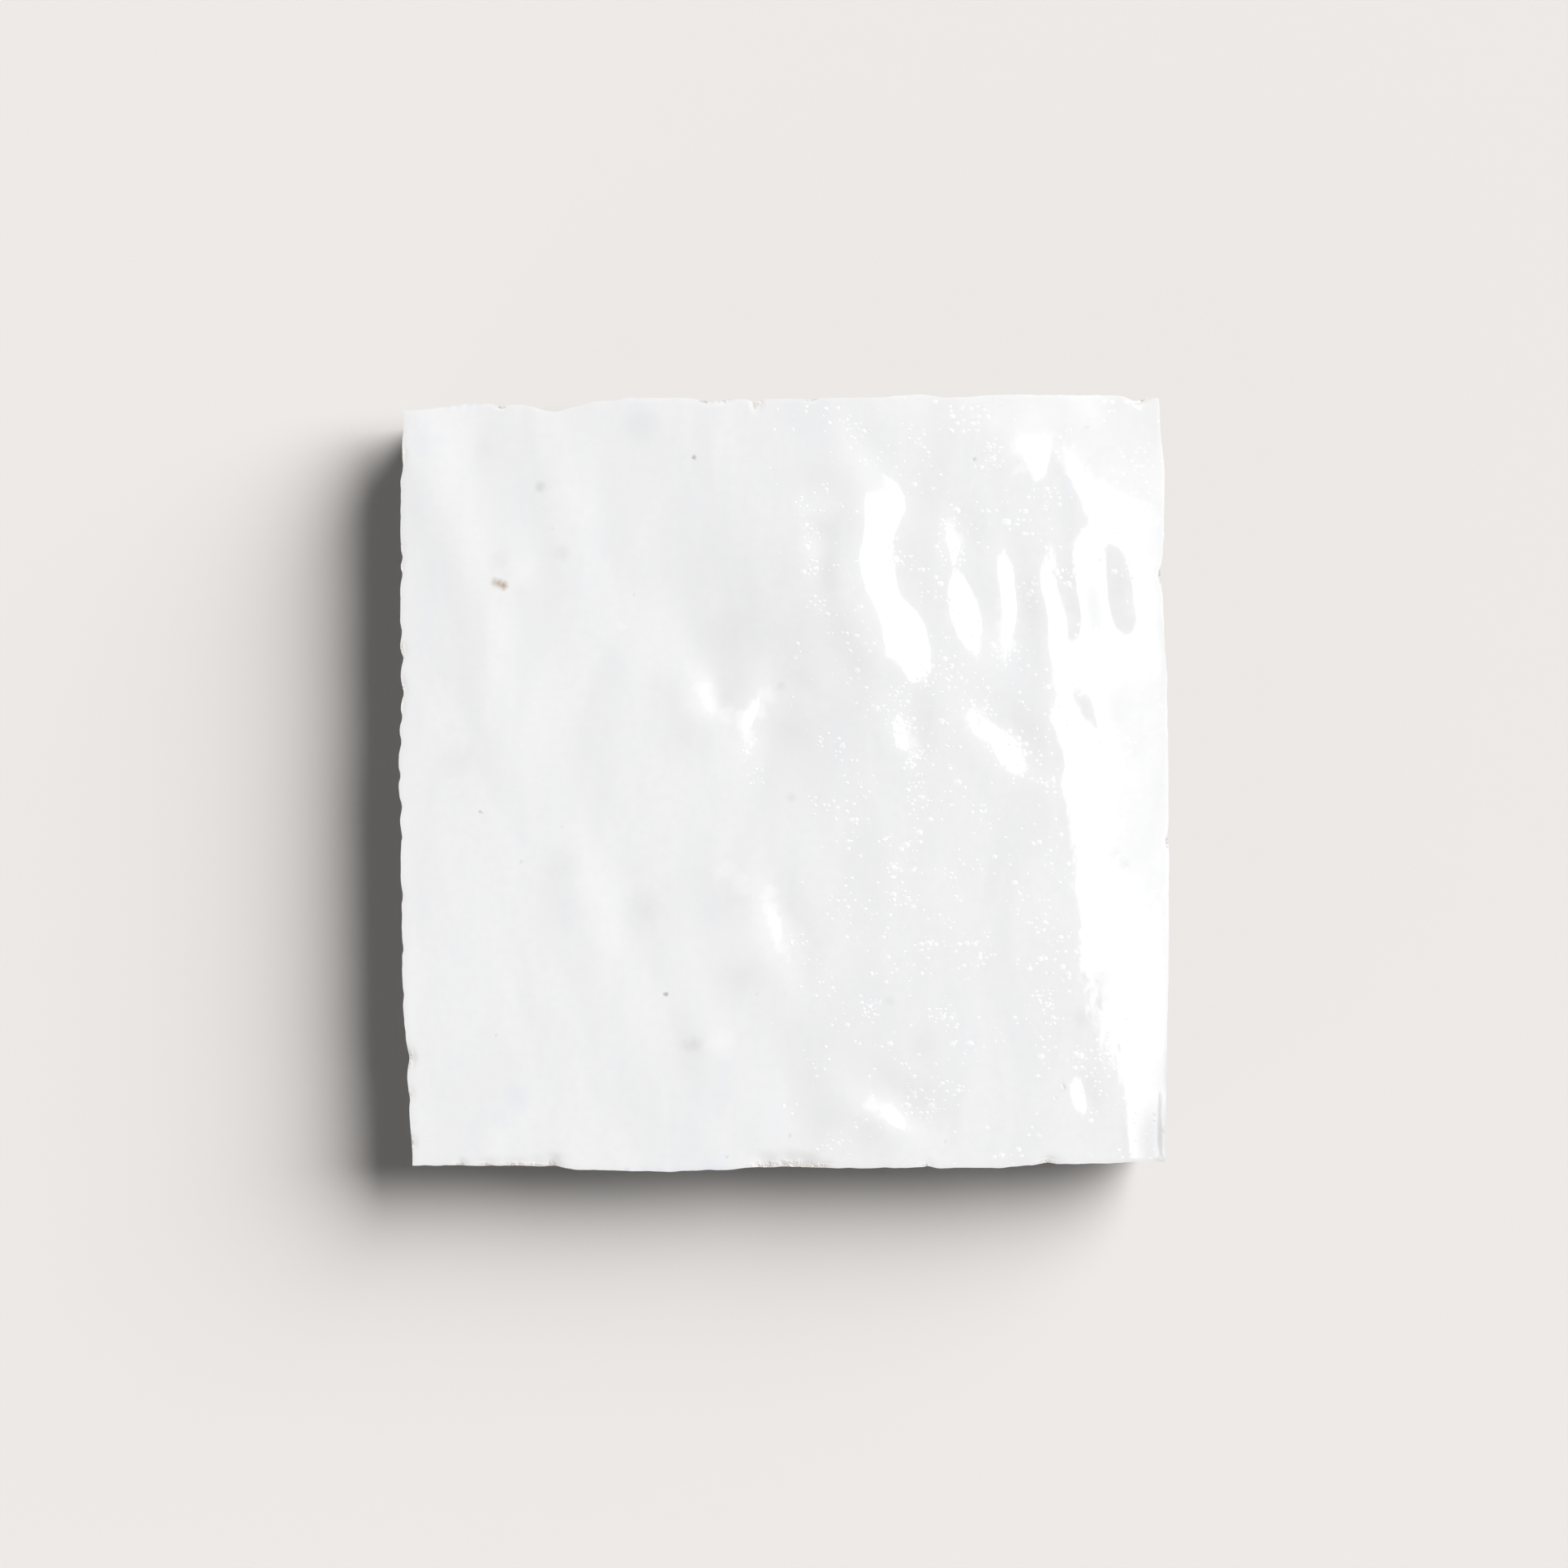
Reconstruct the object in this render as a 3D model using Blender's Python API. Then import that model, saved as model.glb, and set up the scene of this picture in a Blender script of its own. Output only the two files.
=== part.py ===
# White zellige wall tile, 100 mm square in name and about 11 mm thick.
# It is one piece of fired clay. The face was flattened by hand, so it rolls and dips.
# The four flanks were cut with a sharp hammer: each stroke bit out a shallow bowl, the
# bowls meet in ridges, and the flanks slope in towards the back. The glaze lies on the
# face and rolls down at the nibbled arris.
#
# Metres. +X and +Y run along the sides and +Z points out of the glazed face.
# The back lies on z = 0, and the outer box stands centred on the origin.

import math
import random

import bmesh
import bpy
from mathutils import Vector, noise

MM = 0.001

# Driving dimensions, in millimetres
HALF_FORMAT = 50.0  # half of the nominal side
THICKNESS = 10.5  # back to glazed face, where no dab of the hand raised or sank it
FLANK_SLOPES_IN = {"left": 1.7, "right": 2.1, "bottom": 1.9, "top": 1.5}  # over the thickness
RIM_DEPTH = 1.3  # upright band under the arris
CORNER_PLAIN = 4.0  # the hammer's bites fade out this near a corner
ARRIS_ROLL = 0.16  # how far the glaze rolls down at the arris
ARRIS_ROLL_WIDTH = 1.5

# Mesh density
FACE_CELLS = 56  # squares along each side of the face
RIM_SPLITS = 1  # extra cuts in each square's outer edge, for the nibbled arris
FLANK_ROWS = 6
ROW_CROWDING = 1.35  # draws the flank's rows closer together towards the arris
EDGE_CROWDING = 0.7  # draws the face's squares closer together towards the arris

# Each side's cut line: points of (place along the side, distance out from the centre).
# Along is +X for the top and bottom sides and +Y for the left and right ones.
CUT_LINES = {
    "left": ((-49.7, 48.2), (-38, 48.9), (-25, 49.5), (-5, 49.75), (3.5, 50.0), (12, 49.7),
             (30, 49.8), (40, 49.65), (48.3, 49.4)),
    "right": ((-49.3, 49.5), (-35, 49.8), (-20, 50.05), (0, 50.0), (13, 49.8), (20, 49.4),
              (27, 49.1), (33, 49.4), (41, 49.5), (45, 49.0), (50, 48.8)),
    "bottom": ((-48.2, 49.7), (-36, 49.75), (-26, 50.3), (-17, 50.5), (-9, 50.3), (-5, 50.0),
               (27, 50.0), (35, 49.55), (49.5, 49.2)),
    "top": ((-49.4, 48.3), (-40, 49.2), (-34.5, 49.1), (-30.5, 48.2), (-23, 49.6), (-19, 50.0),
            (-5, 49.8), (12, 50.0), (18.5, 50.4), (21.6, 50.0), (30, 50.4), (43, 50.3), (48.8, 50.0)),
}

# Nicks in the arris: (place along the side, width, depth)
NICKS = {
    "left": ((12.5, 1.6, 0.35), (17.5, 1.4, 0.3), (-35.5, 3.0, 0.35), (-41.0, 2.0, 0.3)),
    "right": ((27.0, 2.2, 0.2), (-7.5, 1.6, 0.2)),
    "bottom": ((-31.0, 2.4, 0.3), (0.5, 5.0, 0.45), (18.6, 1.4, 0.4), (34.5, 1.8, 0.3)),
    "top": ((-36.8, 1.4, 0.35), (-9.0, 4.0, 0.3), (-3.4, 1.2, 0.5), (3.9, 1.6, 0.2), (47.0, 1.8, 0.45)),
}

# Swells and hollows of the face: (x, y, lean, half length, half width, rise).
# Lean turns the long axis, in degrees, from straight down the face towards +X.
RELIEF = (
    # falls of the right margin, the right corners and the top edge, and the broad swell before them
    (57.3, -2.2, 0, 19.8, 9.0, -1.05),
    (48.0, 60.0, 0, 12.0, 8.6, -1.2),
    (31.0, 56.0, 90, 9.0, 4.5, -0.35),
    (48.8, -52.0, 0, 7.0, 1.5, -0.16),
    (10.0, 25.0, 0, 14.0, 15.0, 0.50),
    # long bent slope right of the middle: hollows on its right, swells on its left
    (16.5, 36.2, 0, 4.4, 3.2, -0.16),
    (9.3, 36.0, 0, 4.2, 3.2, 0.17),
    (14.2, 28.0, -5, 3.0, 2.4, -0.10),
    (8.6, 27.6, -5, 3.0, 2.6, 0.12),
    (18.2, 20.8, 25, 4.2, 2.4, -0.08),
    (11.7, 18.8, 25, 4.4, 3.3, 0.25),
    (4.5, 23.0, 15, 9.0, 5.0, 0.14),
    # leaf beside it, with its short streak above
    (23.4, 33.0, 14, 3.0, 1.7, -0.11),
    (26.4, 21.6, 18, 3.4, 2.4, -0.195),
    # two narrow dabs and the ridges between
    (27.6, 22.4, 8, 4.2, 1.5, 0.06),
    (30.7, 22.4, 6, 3.8, 2.0, -0.16),
    (33.5, 23.0, 6, 4.0, 1.6, 0.05),
    (36.1, 23.0, 6, 3.7, 1.6, -0.07),
    (38.8, 24.8, 8, 3.4, 1.6, 0.05),
    (39.5, 35.5, 20, 4.0, 2.2, 0.06),
    # groove near the margin, the ridge right of it, and the top dab
    (42.0, 23.8, 14, 5.0, 2.1, -0.10),
    (46.2, 24.6, 10, 5.0, 2.0, 0.07),
    (34.0, 42.0, -10, 3.0, 1.2, -0.035),
    (28.2, 43.4, 20, 3.0, 2.2, 0.05),
    # slanting dabs under them, and small swells in the margin
    (29.4, 6.4, 47, 5.0, 1.9, -0.11),
    (26.6, 3.4, 47, 4.8, 2.2, 0.06),
    (17.2, 6.6, 15, 2.8, 1.7, -0.07),
    (13.8, 5.8, 15, 2.8, 1.7, 0.05),
    (41.0, 9.6, 30, 3.4, 1.8, 0.10),
    (39.8, 9.0, 4, 6.0, 2.2, -0.06),
    (37.5, -3.0, 15, 5.0, 2.0, 0.035),
    (43.6, -26.5, 20, 2.2, 1.4, 0.012),
    # forked dab and slit near the middle
    (-1.6, 8.4, -30, 4.4, 2.5, -0.33),
    (-5.4, 10.4, -30, 3.2, 1.6, 0.13),
    (-8.0, 10.9, 15, 2.8, 1.3, -0.09),
    (-12.0, 10.2, 15, 3.2, 2.6, 0.26),
    (0.6, -18.0, 15, 4.6, 1.9, -0.14),
    (-3.2, -19.0, 15, 4.6, 1.9, 0.09),
    # dabs by the lower edge
    (14.6, -41.2, 55, 3.4, 1.9, -0.16),
    (12.4, -44.3, 55, 3.4, 1.9, 0.12),
    (39.6, -41.0, 8, 1.8, 1.1, -0.055),
    # faint streaks at the top
    (4.8, 29.6, 10, 6.0, 1.5, -0.09),
    (10.6, 44.0, 20, 4.0, 1.7, -0.08),
    # slow dabs over the left half
    (-21.2, -15.5, 15, 7.0, 2.6, -0.18),
    (-26.8, -12.0, 12, 6.0, 2.6, 0.12),
    (-9.5, -22.0, 14, 6.0, 2.8, -0.12),
    (2.0, -42.0, 14, 7.0, 3.0, -0.14),
    (-10.3, -33.5, 10, 2.6, 1.7, 0.10),
    (-34.4, 27.5, 10, 3.0, 1.9, 0.10),
    (-45.0, 38.0, 20, 9.0, 3.0, 0.14),
    (-29.0, 34.0, 8, 7.0, 2.4, 0.12),
    (-38.0, 12.0, 6, 12.0, 3.0, 0.12),
    (-12.0, 20.0, 0, 7.0, 4.0, -0.14),
)
WANDER_LENGTH = 5.2  # the dabs' outlines stray by WANDER over about this length
WANDER = 0.7

# Hammer bites down the flanks, one row of bowls under the arris and one along the back
BITE_ROWS = (
    {"depth": (2.6, 4.6), "step": (3.4, 6.6), "half_width": (3.0, 4.6), "half_height": (3.0, 4.4),
     "bite": (0.35, 0.8)},
    {"depth": (7.0, 9.6), "step": (4.2, 8.0), "half_width": (3.4, 5.6), "half_height": (3.2, 5.0),
     "bite": (0.5, 1.3)},
)
BITE_START = 1.6  # the bites reach their full depth this far under the arris
BITE_OVERRUN = 4.0  # the rows of bites start and end this far past the corners
BITE_SEED = 7
GRAIN = 0.12  # roughness of the broken clay
SIDE_ROWS = {"left": 1.7, "right": 4.1, "bottom": 7.3, "top": 9.9}  # noise row of each side

CLAY_AND_GLAZE = {"color": (0.86, 0.87, 0.88, 1.0), "roughness": 0.08}
SHARP_ANGLE = 35.0


def bell(distance, half_width):
    return math.exp(-0.5 * (distance / half_width) ** 2)


def ease(value):
    # Smooth step from 0 to 1
    value = min(1.0, max(0.0, value))
    return value * value * (3 - 2 * value)


def read_line(points, along):
    # Smooth curve through the cut line's points, flat at each of them
    if along <= points[0][0]:
        return points[0][1]
    for (start, out_a), (end, out_b) in zip(points, points[1:]):
        if along <= end:
            return out_a + (out_b - out_a) * ease((along - start) / (end - start))
    return points[-1][1]


def arris_out(side, along):
    # Distance of the arris from the centre: the cut line, its fine toothing, and the nicks
    row = SIDE_ROWS[side]
    out = read_line(CUT_LINES[side], along)
    out += 0.11 * noise.noise(Vector((along * 0.42, row, 0.0)))
    out += 0.05 * noise.noise(Vector((along * 1.1, row, 3.0)))
    for place, width, depth in NICKS[side]:
        out -= depth * bell(along - place, width / 2.5)
    return out


def face_height(x, y):
    # Height of the glazed face, with outlines that wander as soft clay's do
    spot = Vector((x / WANDER_LENGTH, y / WANDER_LENGTH, 1.3))
    strayed_x = x + WANDER * noise.noise(spot)
    strayed_y = y + WANDER * noise.noise(spot + Vector((0, 0, 7.0)))
    height = THICKNESS
    for cx, cy, lean, half_length, half_width, rise in RELIEF:
        a = math.radians(lean)
        along = (strayed_x - cx) * math.sin(a) - (strayed_y - cy) * math.cos(a)
        across = (strayed_x - cx) * math.cos(a) + (strayed_y - cy) * math.sin(a)
        height += rise * bell(along, half_length) * bell(across, half_width)
    return height


def arris_roll(margin):
    # The glaze rolls down over the last millimetre or so before the cut
    return ARRIS_ROLL * max(0.0, 1 - margin / ARRIS_ROLL_WIDTH) ** 2


def make_bites(rng):
    # One side's bowls: (place along the side, depth, half width, half height, bite)
    bites = []
    for row in BITE_ROWS:
        place = -HALF_FORMAT - BITE_OVERRUN
        while place < HALF_FORMAT + BITE_OVERRUN:
            bites.append((place, rng.uniform(*row["depth"]), rng.uniform(*row["half_width"]),
                          rng.uniform(*row["half_height"]), rng.uniform(*row["bite"])))
            place += rng.uniform(*row["step"])
    return bites


def flank_inset(side, bites, along, depth):
    # How far the flank lies inside the arris, depth millimetres down.
    # The deepest bowl wins, so that neighbouring bowls meet in a ridge.
    fade = ease((HALF_FORMAT - abs(along)) / CORNER_PLAIN) * ease(depth / BITE_START)
    inset = FLANK_SLOPES_IN[side] * max(0.0, depth - RIM_DEPTH) / THICKNESS
    deepest = 0.0
    for place, centre, half_width, half_height, bite in bites:
        bowl = 1 - ((along - place) / half_width) ** 2 - ((depth - centre) / half_height) ** 2
        deepest = max(deepest, bite * bowl)
    grain = noise.fractal(Vector((along * 0.9, depth * 0.9, SIDE_ROWS[side])), 1.0, 2.0, 3)
    return max(0.0, inset + fade * (deepest + GRAIN * grain))


def crowd(share):
    # Moves a grid line, given as -1 to 1, closer to the arris
    reach = EDGE_CROWDING * math.pi / 2
    return math.sin(share * reach) / math.sin(reach)


def is_level(edge):
    return abs(edge.verts[0].co.z - edge.verts[1].co.z) < 1e-6


def on_flank(vert):
    return max(abs(vert.co.x), abs(vert.co.y)) > 1 - 1e-6


def cut_blank():
    # A cube of side 2, cut into the face's squares, the flank's rows and a finer arris
    blank = bmesh.new()
    bmesh.ops.create_cube(blank, size=2)
    level = [edge for edge in blank.edges if is_level(edge)]
    bmesh.ops.subdivide_edges(blank, edges=level, cuts=FACE_CELLS - 1, use_grid_fill=True)
    upright = [edge for edge in blank.edges if not is_level(edge)]
    bmesh.ops.subdivide_edges(blank, edges=upright, cuts=FLANK_ROWS - 1)
    rim = [edge for edge in blank.edges if is_level(edge) and all(map(on_flank, edge.verts))]
    bmesh.ops.subdivide_edges(blank, edges=rim, cuts=RIM_SPLITS)
    back = [face for face in blank.faces if face.normal.z < -0.99]
    bmesh.ops.dissolve_faces(blank, faces=back)
    return blank


def shape_blank(blank):
    # Moves every point of the blank to its place on the tile, in millimetres
    rng = random.Random(BITE_SEED)
    bites = {side: make_bites(rng) for side in CUT_LINES}
    for vert in blank.verts:
        across, up = crowd(vert.co.x), crowd(vert.co.y)
        row = round((1 - vert.co.z) / 2 * FLANK_ROWS)
        sunk = (row / FLANK_ROWS) ** ROW_CROWDING
        out = {}
        for side in CUT_LINES:
            along = HALF_FORMAT * (up if side in ("left", "right") else across)
            inset = flank_inset(side, bites[side], along, sunk * THICKNESS)
            out[side] = arris_out(side, along) - inset
        x = ((1 + across) * out["right"] - (1 - across) * out["left"]) / 2
        y = ((1 + up) * out["top"] - (1 - up) * out["bottom"]) / 2
        margin = min(out["right"] - x, out["left"] + x, out["top"] - y, out["bottom"] + y)
        z = (face_height(x, y) - arris_roll(margin)) * (1 - sunk)
        vert.co = (x, y, z)


def centre_on_origin(blank):
    # The outer box's middle comes over the origin
    low = Vector(min(vert.co[axis] for vert in blank.verts) for axis in range(3))
    high = Vector(max(vert.co[axis] for vert in blank.verts) for axis in range(3))
    shift = -(low + high) / 2
    shift.z = 0
    bmesh.ops.translate(blank, verts=blank.verts, vec=shift)


def glaze_material():
    material = bpy.data.materials.new("white_glaze")
    material.use_nodes = True
    shader = material.node_tree.nodes["Principled BSDF"]
    shader.inputs["Base Color"].default_value = CLAY_AND_GLAZE["color"]
    shader.inputs["Roughness"].default_value = CLAY_AND_GLAZE["roughness"]
    shader.inputs["Metallic"].default_value = 0.0
    return material


def make_tile(collection):
    blank = cut_blank()
    shape_blank(blank)
    centre_on_origin(blank)
    bmesh.ops.scale(blank, verts=blank.verts, vec=(MM, MM, MM))
    mesh = bpy.data.meshes.new("zellige_tile")
    blank.to_mesh(mesh)
    blank.free()
    mesh.materials.append(glaze_material())
    mesh.shade_smooth()
    mesh.set_sharp_from_angle(angle=math.radians(SHARP_ANGLE))
    tile = bpy.data.objects.new("zellige_tile", mesh)
    collection.objects.link(tile)
    return tile


def main():
    for old in list(bpy.data.objects):
        bpy.data.objects.remove(old)
    collection = bpy.data.collections.new("zellige tile")
    bpy.context.scene.collection.children.link(collection)
    make_tile(collection)


main()
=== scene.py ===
import math
import random

import bmesh
import bpy
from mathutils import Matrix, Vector, noise


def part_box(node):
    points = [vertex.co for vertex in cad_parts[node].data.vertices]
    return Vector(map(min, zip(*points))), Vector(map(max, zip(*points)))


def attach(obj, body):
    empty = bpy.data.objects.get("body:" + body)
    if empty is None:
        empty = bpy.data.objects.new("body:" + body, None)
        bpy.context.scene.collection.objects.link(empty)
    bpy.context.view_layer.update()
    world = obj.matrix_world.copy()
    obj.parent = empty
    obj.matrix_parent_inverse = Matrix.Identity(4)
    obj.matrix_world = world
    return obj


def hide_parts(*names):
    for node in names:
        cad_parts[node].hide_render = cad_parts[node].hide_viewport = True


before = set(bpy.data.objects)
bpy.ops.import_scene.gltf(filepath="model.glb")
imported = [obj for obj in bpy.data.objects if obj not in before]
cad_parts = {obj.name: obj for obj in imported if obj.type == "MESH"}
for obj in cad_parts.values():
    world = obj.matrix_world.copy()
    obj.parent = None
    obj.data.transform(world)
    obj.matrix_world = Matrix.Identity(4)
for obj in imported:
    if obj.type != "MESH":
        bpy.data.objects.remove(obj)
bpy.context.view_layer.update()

tileLow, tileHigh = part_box("zellige_tile")
mm = 0.001
print("frame loaded")

# The tile is shaped in millimetres, seen square on: +X right, +Y up, +Z out of the glazed face.
# A place along a side runs up the left and right sides, and to the right on the other two
tileShape = {
    "half": 50.0,
    "thickness": 10.48,  # a hair under the CAD face, so that nothing stands out of its box
    "cells": 190,  # squares along each side, on the face and on the back
    "crowding": 0.7,  # draws the squares closer together towards the arris
    "flankRows": 26,
    "rowCrowding": 1.35,  # and the flank's rows closer together under it
    "rimDepth": 1.3,  # upright band under the arris
    "cornerPlain": 4.0,  # hammer bites weaken this near a corner
    "cornerLeast": 0.35,  # to this share
    "rollDrop": 0.02,  # how far the glaze rolls down at the arris
    "rollWidth": 0.6,
    "slopesIn": {"left": 1.7, "right": 2.1, "bottom": 1.9, "top": 1.5},
    "noiseRow": {"left": 1.7, "right": 4.1, "bottom": 7.3, "top": 9.9},  # each side reads its own noise
    # nibbled arris: (reach, turns to the millimetre, noise layer)
    "nibbles": ((0.11, 0.42, 0.0), (0.07, 0.9, 3.0), (0.05, 1.9, 6.0)),
    "nickBell": 2.5,  # a nick's width over its bell's half width
    "sharpFrom": 50.0,  # degrees between faces
}

# Each side's cut line: (place along the side, distance out from the centre)
cutLines = {
    "left": ((-49.7, 48.2), (-38, 48.9), (-25, 49.5), (-5, 49.75), (3.5, 50.0), (12, 49.7),
             (30, 49.8), (40, 49.65), (48.3, 49.4)),
    "right": ((-49.3, 49.5), (-35, 49.8), (-20, 50.05), (0, 50.0), (13, 49.8), (20, 49.4),
              (27, 49.1), (33, 49.4), (41, 49.5), (45, 49.0), (50, 48.8)),
    "bottom": ((-48.2, 49.7), (-36, 49.75), (-26, 50.3), (-17, 50.5), (-9, 50.3), (-5, 50.0),
               (27, 50.0), (35, 49.55), (49.5, 49.2)),
    "top": ((-49.4, 48.3), (-40, 49.2), (-34.5, 49.1), (-30.5, 48.2), (-23, 49.6), (-19, 50.0),
            (-5, 49.8), (12, 50.0), (18.5, 50.4), (21.6, 50.0), (30, 50.4), (43, 50.3), (48.8, 50.0)),
}

# Nicks in the outline: (place, width, depth)
nicks = {
    "left": ((12.5, 1.6, 0.35), (17.2, 1.3, 0.38), (30.5, 1.4, 0.34), (28.3, 1.3, 0.3), (42.6, 1.8, 0.25),
             (20.6, 1.3, 0.25), (9.4, 1.3, 0.28), (6.0, 1.5, 0.28), (1.6, 1.2, 0.22), (-2.4, 1.4, 0.28),
             (-6.4, 1.4, 0.22), (-14.2, 1.5, 0.2), (-21.2, 1.3, 0.22), (-27.4, 1.4, 0.22),
             (-35.5, 3.0, 0.35), (-41.0, 2.0, 0.3)),
    "right": ((27.0, 2.2, 0.2), (-7.5, 1.6, 0.2)),
    "bottom": ((-31.0, 2.4, 0.3), (0.5, 5.0, 0.2), (18.6, 0.9, 0.22), (34.5, 1.8, 0.3)),
    "top": ((-36.8, 1.4, 0.35), (-9.0, 4.0, 0.3), (-3.4, 1.2, 0.5), (3.9, 1.6, 0.2), (47.0, 1.8, 0.45)),
}

# Dents where the glaze ran thin over a chipped arris: (place, width, reach inwards, drop)
dents = {
    "left": ((17.3, 1.0, 0.7, 0.2), (12.6, 1.6, 0.5, 0.15), (10.0, 1.2, 0.45, 0.12), (30.5, 1.0, 0.45, 0.12),
             (28.3, 1.0, 0.45, 0.12), (42.6, 1.4, 0.4, 0.1), (-35.8, 2.2, 0.8, 0.3), (-40.4, 1.2, 0.6, 0.2),
             (-46.8, 1.4, 0.6, 0.2)),
    "right": ((27.0, 1.6, 0.35, 0.1), (-7.5, 1.4, 0.3, 0.1)),
    "bottom": ((-2.2, 2.8, 1.5, 0.5), (0.4, 2.0, 1.7, 0.4), (2.6, 2.6, 1.5, 0.5), (4.8, 1.8, 0.8, 0.25),
               (-42.0, 1.2, 0.8, 0.3), (-38.6, 1.8, 0.8, 0.3), (-35.2, 3.0, 0.9, 0.25),
               (-32.0, 1.8, 1.1, 0.3), (-30.2, 1.8, 1.4, 0.45), (18.5, 0.9, 0.8, 0.22),
               (34.2, 2.0, 0.8, 0.35)),
    "top": ((-36.6, 1.0, 0.35, 0.1), (-9.9, 1.2, 0.5, 0.16), (-7.6, 1.2, 0.5, 0.16),
            (-3.4, 0.7, 1.2, 0.3), (3.9, 1.2, 0.4, 0.14), (46.6, 1.8, 0.7, 0.25)),
}

dentShape = {
    "bell": 2.6,  # a dent's width over its bell's half width
    "slope": 1.6,  # how far in its slope runs, in reaches
    "deepest": 0.5,  # share of the drop at the arris
    "bareFrom": 1.3,  # the clay shows full where this, less bareFall a reach, is still 1
    "bareFall": 1.8,
    "bareDepth": 1.5,  # and fades out this far down the flank
}

# Swells and hollows pressed into the face, long axis leaning from straight down towards +X:
# (x, y, lean in degrees, half length, half width, rise)
relief = (
    # falls of the right margin, the right corners and the top edge, and the broad swell before them
    (57.3, -2.2, 0, 19.8, 9.0, -1.05),
    (53.0, 50.0, 40, 16.0, 7.4, -1.3),
    (31.0, 56.0, 90, 9.0, 4.5, -0.35),
    (48.8, -52.0, 0, 7.0, 1.5, -0.16),
    (10.0, 25.0, 0, 14.0, 15.0, 0.50),
    # long bent slope right of the middle: hollows on its right, swells on its left
    (16.5, 36.2, 0, 4.4, 3.2, -0.16),
    (9.3, 36.0, 0, 4.2, 3.2, 0.17),
    (14.2, 28.0, -5, 3.0, 2.4, -0.10),
    (8.6, 27.6, -5, 3.0, 2.6, 0.12),
    (18.2, 20.8, 25, 4.2, 2.4, -0.08),
    (11.7, 18.8, 25, 4.4, 3.3, 0.25),
    (4.5, 23.0, 15, 9.0, 5.0, 0.14),
    # leaf beside it, with its short streak above
    (23.4, 33.0, 14, 3.0, 1.7, -0.11),
    (26.4, 21.6, 18, 3.4, 2.4, -0.195),
    # two narrow dabs and the ridges between
    (27.6, 22.4, 8, 4.2, 1.5, 0.06),
    (30.7, 22.4, 6, 3.8, 2.0, -0.16),
    (33.5, 23.0, 6, 4.0, 1.6, 0.05),
    (36.1, 23.0, 6, 3.7, 1.6, -0.07),
    (38.8, 24.8, 8, 3.4, 1.6, 0.05),
    (39.5, 35.5, 20, 4.0, 2.2, 0.06),
    # groove near the margin, the ridge right of it, and the top dab
    (42.0, 23.8, 14, 5.0, 2.1, -0.10),
    (46.2, 24.6, 10, 5.0, 2.0, 0.07),
    (34.0, 42.0, -10, 3.0, 1.2, -0.035),
    (28.2, 43.4, 20, 3.0, 2.2, 0.05),
    # slanting dabs under them, and small swells in the margin
    (29.4, 6.4, 47, 5.0, 1.9, -0.11),
    (26.6, 3.4, 47, 4.8, 2.2, 0.06),
    (17.2, 6.6, 15, 2.8, 1.7, -0.07),
    (13.8, 5.8, 15, 2.8, 1.7, 0.05),
    (41.0, 9.6, 30, 3.4, 1.8, 0.10),
    (39.8, 9.0, 4, 6.0, 2.2, -0.06),
    (37.5, -3.0, 15, 5.0, 2.0, 0.035),
    (43.6, -26.5, 20, 2.2, 1.4, 0.012),
    # forked dab and slit near the middle
    (-1.6, 8.4, -30, 4.4, 2.5, -0.28),
    (-5.4, 10.4, -30, 3.2, 1.6, 0.13),
    (-8.0, 10.9, 15, 2.8, 1.3, -0.09),
    (-12.0, 10.2, 15, 3.2, 2.6, 0.26),
    (0.6, -18.0, 15, 4.6, 1.9, -0.14),
    (-3.2, -19.0, 15, 4.6, 1.9, 0.09),
    # dabs by the lower edge
    (14.6, -41.2, 55, 3.4, 1.9, -0.16),
    (12.4, -44.3, 55, 3.4, 1.9, 0.12),
    (39.6, -41.0, 8, 1.8, 1.1, -0.055),
    # faint streaks at the top
    (4.8, 29.6, 10, 6.0, 1.5, -0.09),
    (10.6, 44.0, 20, 4.0, 1.7, -0.08),
    # slow dabs over the left half
    (-21.2, -15.5, 15, 7.0, 2.6, -0.12),
    (-26.8, -12.0, 12, 6.0, 2.6, 0.08),
    (-9.5, -22.0, 14, 6.0, 2.8, -0.12),
    (2.0, -42.0, 14, 7.0, 3.0, -0.14),
    (-10.3, -33.5, 10, 2.6, 1.7, 0.10),
    (-34.4, 27.5, 10, 3.0, 1.9, 0.10),
    (-45.0, 38.0, 20, 9.0, 3.0, 0.14),
    (-29.0, 34.0, 8, 7.0, 2.4, 0.12),
    (-38.0, 12.0, 6, 12.0, 3.0, 0.12),
    (-12.0, 20.0, 0, 7.0, 4.0, -0.14),
)
wander = {"length": 5.2, "reach": 0.7}  # how far the outlines of the hollows stray

# Hammer bites down the flanks, one row under the arris and one along the back's edge
bites = {
    "seed": 7,
    "rows": (
        {"depth": (2.6, 4.6), "step": (3.4, 6.6), "halfWidth": (3.0, 4.6), "halfHeight": (3.0, 4.4),
         "bite": (0.35, 0.8)},
        {"depth": (7.0, 9.6), "step": (4.2, 8.0), "halfWidth": (3.4, 5.6), "halfHeight": (3.2, 5.0),
         "bite": (0.5, 1.3)},
    ),
    "past": 4.0,  # rows run on this far past the corners
    "from": 1.6,  # bites are full this far down
    "grain": 0.17,
    "grainTurns": 0.8,
}

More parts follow.
